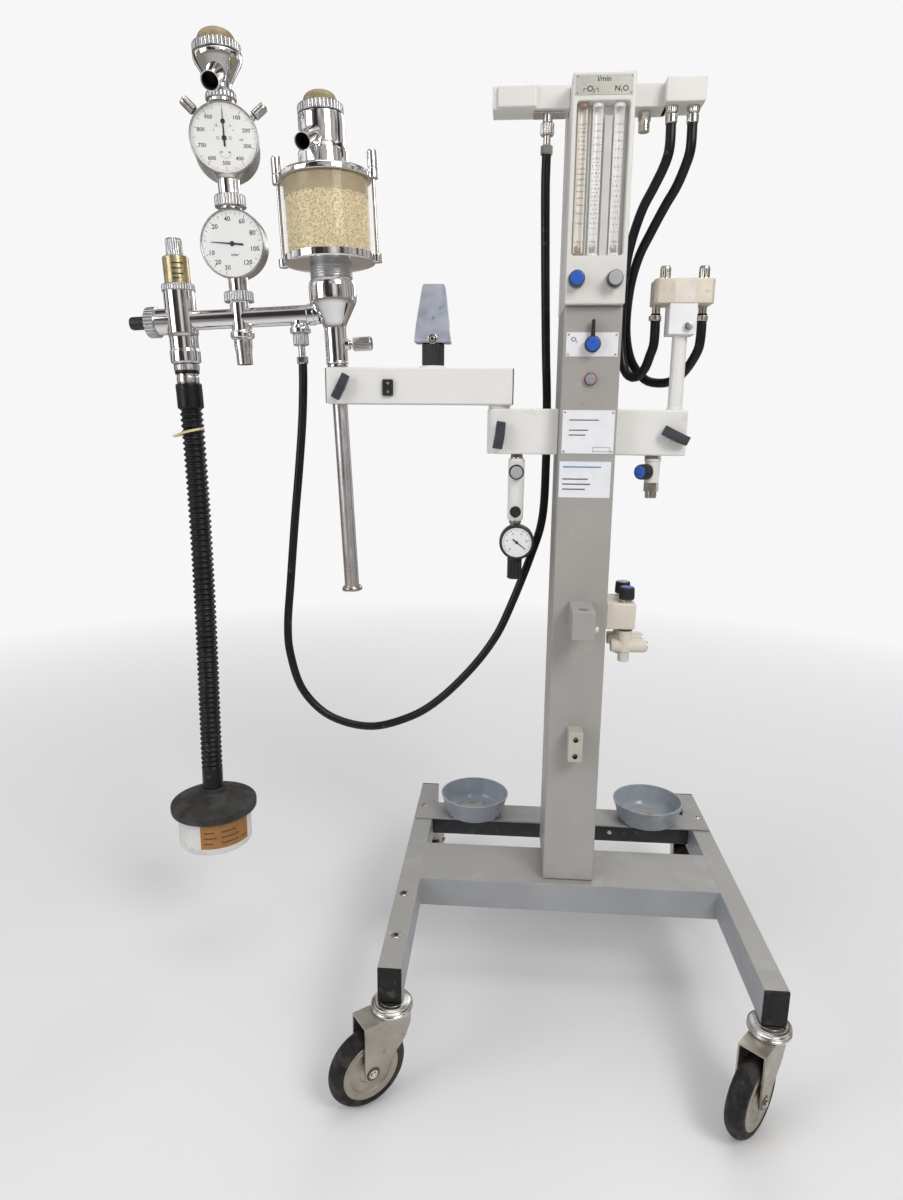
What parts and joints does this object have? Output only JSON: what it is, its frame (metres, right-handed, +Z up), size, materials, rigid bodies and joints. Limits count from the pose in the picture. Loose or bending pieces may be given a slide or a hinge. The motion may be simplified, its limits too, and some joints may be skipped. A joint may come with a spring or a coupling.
{
  "type": "anesthesia machine",
  "caption": "Mobile anesthesia stand with casters, flowmeters, gas valves, a swing arm and a circle breathing system with soda lime canister, gauges and hoses.",
  "frame": {"origin": "on the floor, under the middle of the rigid parts", "axes": "+X to the right as the flowmeters are read, +Y to the back, +Z up"},
  "size_m": [1.0614, 0.7918, 1.5906],
  "materials": {
    "blue_grey_paint": "semi-gloss",
    "column_paint": "satin",
    "cream_paint": "satin",
    "black_plastic": "matte",
    "blue_plastic": "satin",
    "grey_plastic": "satin",
    "chrome_metal": "polished",
    "zinc_steel": "zinc plated",
    "tyre_rubber": "matte",
    "tube_glass": "clear",
    "float_metal": "satin",
    "lime_granules": "granular",
    "hose_rubber": "matte",
    "filter_plastic": "satin"
  },
  "bodies": {
    "stand": {"base_frame": "blue_grey_paint", "cup_tray": "blue_grey_paint", "rear_tie_bar": "black_plastic", "left_cup": "blue_grey_paint", "right_cup": "blue_grey_paint", "column": "column_paint", "flowmeter_housing": "cream_paint", "flow_tube_bank": "tube_glass", "left_bracket": "cream_paint", "right_bracket": "cream_paint", "vacuum_valve": "cream_paint", "outlet_valve": "cream_paint", "manifold_post": "cream_paint", "side_valve_block": "cream_paint", "top_beam": "cream_paint", "fresh_gas_hose": "hose_rubber", "manifold_hose_left": "hose_rubber", "manifold_hose_right": "hose_rubber"},
    "front_left_caster": {"front_left_fork": "zinc_steel"},
    "front_left_roller": {"front_left_wheel": "tyre_rubber"},
    "front_right_caster": {"front_right_fork": "zinc_steel"},
    "front_right_roller": {"front_right_wheel": "tyre_rubber"},
    "rear_left_caster": {"rear_left_fork": "zinc_steel"},
    "rear_left_roller": {"rear_left_wheel": "tyre_rubber"},
    "rear_right_caster": {"rear_right_fork": "zinc_steel"},
    "rear_right_roller": {"rear_right_wheel": "tyre_rubber"},
    "swing_arm": {"swing_arm": "cream_paint"},
    "post_collar": {"post_collar": "cream_paint"},
    "absorber": {"absorber_post": "chrome_metal", "canister_glass": "tube_glass", "soda_lime": "lime_granules", "canister_lid": "chrome_metal", "expiratory_valve": "chrome_metal", "breathing_pipe": "chrome_metal", "manometer": "chrome_metal", "volumeter": "chrome_metal", "inspiratory_valve": "chrome_metal", "corrugated_hose": "hose_rubber", "filter_canister": "filter_plastic"},
    "oxygen_flow_knob": {"oxygen_flow_knob": "blue_plastic"},
    "nitrous_flow_knob": {"nitrous_flow_knob": "grey_plastic"},
    "selector_knob": {"selector_knob": "blue_plastic"},
    "push_button": {"push_button": "grey_plastic"},
    "left_clamp_lever": {"left_clamp_lever": "black_plastic"},
    "right_clamp_lever": {"right_clamp_lever": "black_plastic"},
    "arm_clamp_lever": {"arm_clamp_lever": "black_plastic"},
    "vacuum_knob": {"vacuum_knob": "grey_plastic"},
    "outlet_knob": {"outlet_knob": "black_plastic"},
    "side_knob_front": {"side_knob_front": "black_plastic"},
    "side_knob_rear": {"side_knob_rear": "black_plastic"},
    "oxygen_low_float": {"oxygen_low_float": "float_metal"},
    "oxygen_high_float": {"oxygen_high_float": "float_metal"},
    "nitrous_float": {"nitrous_float": "float_metal"},
    "holder_paddle": {"holder_paddle": "grey_plastic"},
    "post_thumb_screw": {"post_thumb_screw": "chrome_metal"},
    "relief_knob": {"relief_knob": "black_plastic"},
    "manometer_pointer": {"manometer_pointer": "black_plastic"},
    "volumeter_pointer": {"volumeter_pointer": "black_plastic"},
    "volumeter_button_left": {"volumeter_button_left": "chrome_metal"},
    "volumeter_button_right": {"volumeter_button_right": "chrome_metal"}
  },
  "joints": [
    {"name": "front_left_swivel", "type": "hinge", "parent": "stand", "child": "front_left_caster", "pos_m": [-0.0605, -0.3092, 0.145], "axis": [0, 0, 1], "continuous": true},
    {"name": "front_left_roll", "type": "hinge", "parent": "front_left_caster", "child": "front_left_roller", "pos_m": [-0.09517, -0.33629, 0.0625], "axis": [-0.6157, 0.788, 0], "continuous": true},
    {"name": "front_right_swivel", "type": "hinge", "parent": "stand", "child": "front_right_caster", "pos_m": [0.4985, -0.3092, 0.145], "axis": [0, 0, 1], "continuous": true},
    {"name": "front_right_roll", "type": "hinge", "parent": "front_right_caster", "child": "front_right_roller", "pos_m": [0.46963, -0.34241, 0.0625], "axis": [-0.7547, 0.6561, 0], "continuous": true},
    {"name": "rear_left_swivel", "type": "hinge", "parent": "stand", "child": "rear_left_caster", "pos_m": [-0.0605, 0.2909, 0.145], "axis": [0, 0, 1], "continuous": true},
    {"name": "rear_left_roll", "type": "hinge", "parent": "rear_left_caster", "child": "rear_left_roller", "pos_m": [-0.05667, 0.33473, 0.0625], "axis": [0.9962, -0.0872, 0], "continuous": true},
    {"name": "rear_right_swivel", "type": "hinge", "parent": "stand", "child": "rear_right_caster", "pos_m": [0.4985, 0.2909, 0.145], "axis": [0, 0, 1], "continuous": true},
    {"name": "rear_right_roll", "type": "hinge", "parent": "rear_right_caster", "child": "rear_right_roller", "pos_m": [0.49238, 0.24733, 0.0625], "axis": [-0.9903, 0.1392, 0], "continuous": true},
    {"name": "arm_swing", "type": "hinge", "parent": "stand", "child": "swing_arm", "pos_m": [0.0785, -0.0145, 1.0415], "axis": [0, 0, 1], "range_deg": [-60, 120]},
    {"name": "post_turn", "type": "hinge", "parent": "swing_arm", "child": "post_collar", "pos_m": [-0.187, -0.0145, 1.0985], "axis": [-0.0471, 0, 0.9989], "range_deg": [-90, 90]},
    {"name": "absorber_lift", "type": "slide", "parent": "post_collar", "child": "absorber", "axis": [-0.0471, 0, 0.9989], "range_m": [0, 0.12]},
    {"name": "oxygen_flow_turn", "type": "hinge", "parent": "stand", "child": "oxygen_flow_knob", "pos_m": [0.19, -0.0745, 1.222], "axis": [0, -1, 0], "range_deg": [0, 540]},
    {"name": "nitrous_flow_turn", "type": "hinge", "parent": "stand", "child": "nitrous_flow_knob", "pos_m": [0.246, -0.0745, 1.222], "axis": [0, -1, 0], "range_deg": [0, 540]},
    {"name": "selector_turn", "type": "hinge", "parent": "stand", "child": "selector_knob", "pos_m": [0.219, -0.0633, 1.131], "axis": [0, -1, 0], "range_deg": [-60, 60]},
    {"name": "button_press", "type": "slide", "parent": "stand", "child": "push_button", "axis": [0, 1, 0], "range_m": [0, 0.003], "stiffness_N_per_m": 400},
    {"name": "left_clamp_turn", "type": "hinge", "parent": "stand", "child": "left_clamp_lever", "pos_m": [0.08, -0.0335, 0.994], "axis": [0, 1, 0], "range_deg": [-60, 90]},
    {"name": "right_clamp_turn", "type": "hinge", "parent": "stand", "child": "right_clamp_lever", "pos_m": [0.3585, -0.0335, 0.9956], "axis": [0, 1, 0], "range_deg": [-60, 90]},
    {"name": "arm_clamp_turn", "type": "hinge", "parent": "swing_arm", "child": "arm_clamp_lever", "pos_m": [-0.1755, -0.0385, 1.068], "axis": [0, 1, 0], "range_deg": [-60, 90]},
    {"name": "vacuum_knob_turn", "type": "hinge", "parent": "stand", "child": "vacuum_knob", "pos_m": [0.109, -0.0285, 0.935], "axis": [0, -1, 0], "range_deg": [0, 540]},
    {"name": "outlet_knob_turn", "type": "hinge", "parent": "stand", "child": "outlet_knob", "pos_m": [0.32098, -0.02315, 0.938], "axis": [-0.722, -0.6919, 0], "range_deg": [0, 540]},
    {"name": "side_front_turn", "type": "hinge", "parent": "stand", "child": "side_knob_front", "pos_m": [0.298, -0.0345, 0.7283], "axis": [0, 0, 1], "range_deg": [0, 540]},
    {"name": "side_rear_turn", "type": "hinge", "parent": "stand", "child": "side_knob_rear", "pos_m": [0.298, 0.0155, 0.7283], "axis": [0, 0, 1], "range_deg": [0, 540]},
    {"name": "oxygen_low_float_rise", "type": "slide", "parent": "stand", "child": "oxygen_low_float", "axis": [0, 0, 1], "range_m": [0, 0.18]},
    {"name": "oxygen_high_float_rise", "type": "slide", "parent": "stand", "child": "oxygen_high_float", "axis": [0, 0, 1], "range_m": [0, 0.18]},
    {"name": "nitrous_float_rise", "type": "slide", "parent": "stand", "child": "nitrous_float", "axis": [0, 0, 1], "range_m": [0, 0.18]},
    {"name": "holder_turn", "type": "hinge", "parent": "swing_arm", "child": "holder_paddle", "pos_m": [-0.03, -0.0145, 1.1028], "axis": [0, 0, 1], "range_deg": [-90, 90]},
    {"name": "thumb_screw_turn", "type": "hinge", "parent": "absorber", "child": "post_thumb_screw", "pos_m": [-0.16442, -0.0145, 1.1356], "axis": [0.9989, 0, 0.0471], "range_deg": [0, 360]},
    {"name": "relief_turn", "type": "hinge", "parent": "absorber", "child": "relief_knob", "pos_m": [-0.50096, -0.0145, 1.16879], "axis": [-0.9989, 0, -0.0471], "range_deg": [0, 270]},
    {"name": "manometer_needle", "type": "hinge", "parent": "absorber", "child": "manometer_pointer", "pos_m": [-0.35006, -0.0241, 1.28703], "axis": [0, 1, 0], "range_deg": [-60, 225]},
    {"name": "volumeter_needle", "type": "hinge", "parent": "absorber", "child": "volumeter_pointer", "pos_m": [-0.35392, -0.02667, 1.43801], "axis": [-0.2585, 0.9659, -0.0122], "continuous": true},
    {"name": "volumeter_button_left_press", "type": "slide", "parent": "absorber", "child": "volumeter_button_left", "axis": [0.7041, 0.1798, -0.6869], "range_m": [0, 0.003], "stiffness_N_per_m": 300},
    {"name": "volumeter_button_right_press", "type": "slide", "parent": "absorber", "child": "volumeter_button_right", "axis": [-0.7088, -0.1983, -0.6769], "range_m": [0, 0.003], "stiffness_N_per_m": 300}
  ]
}
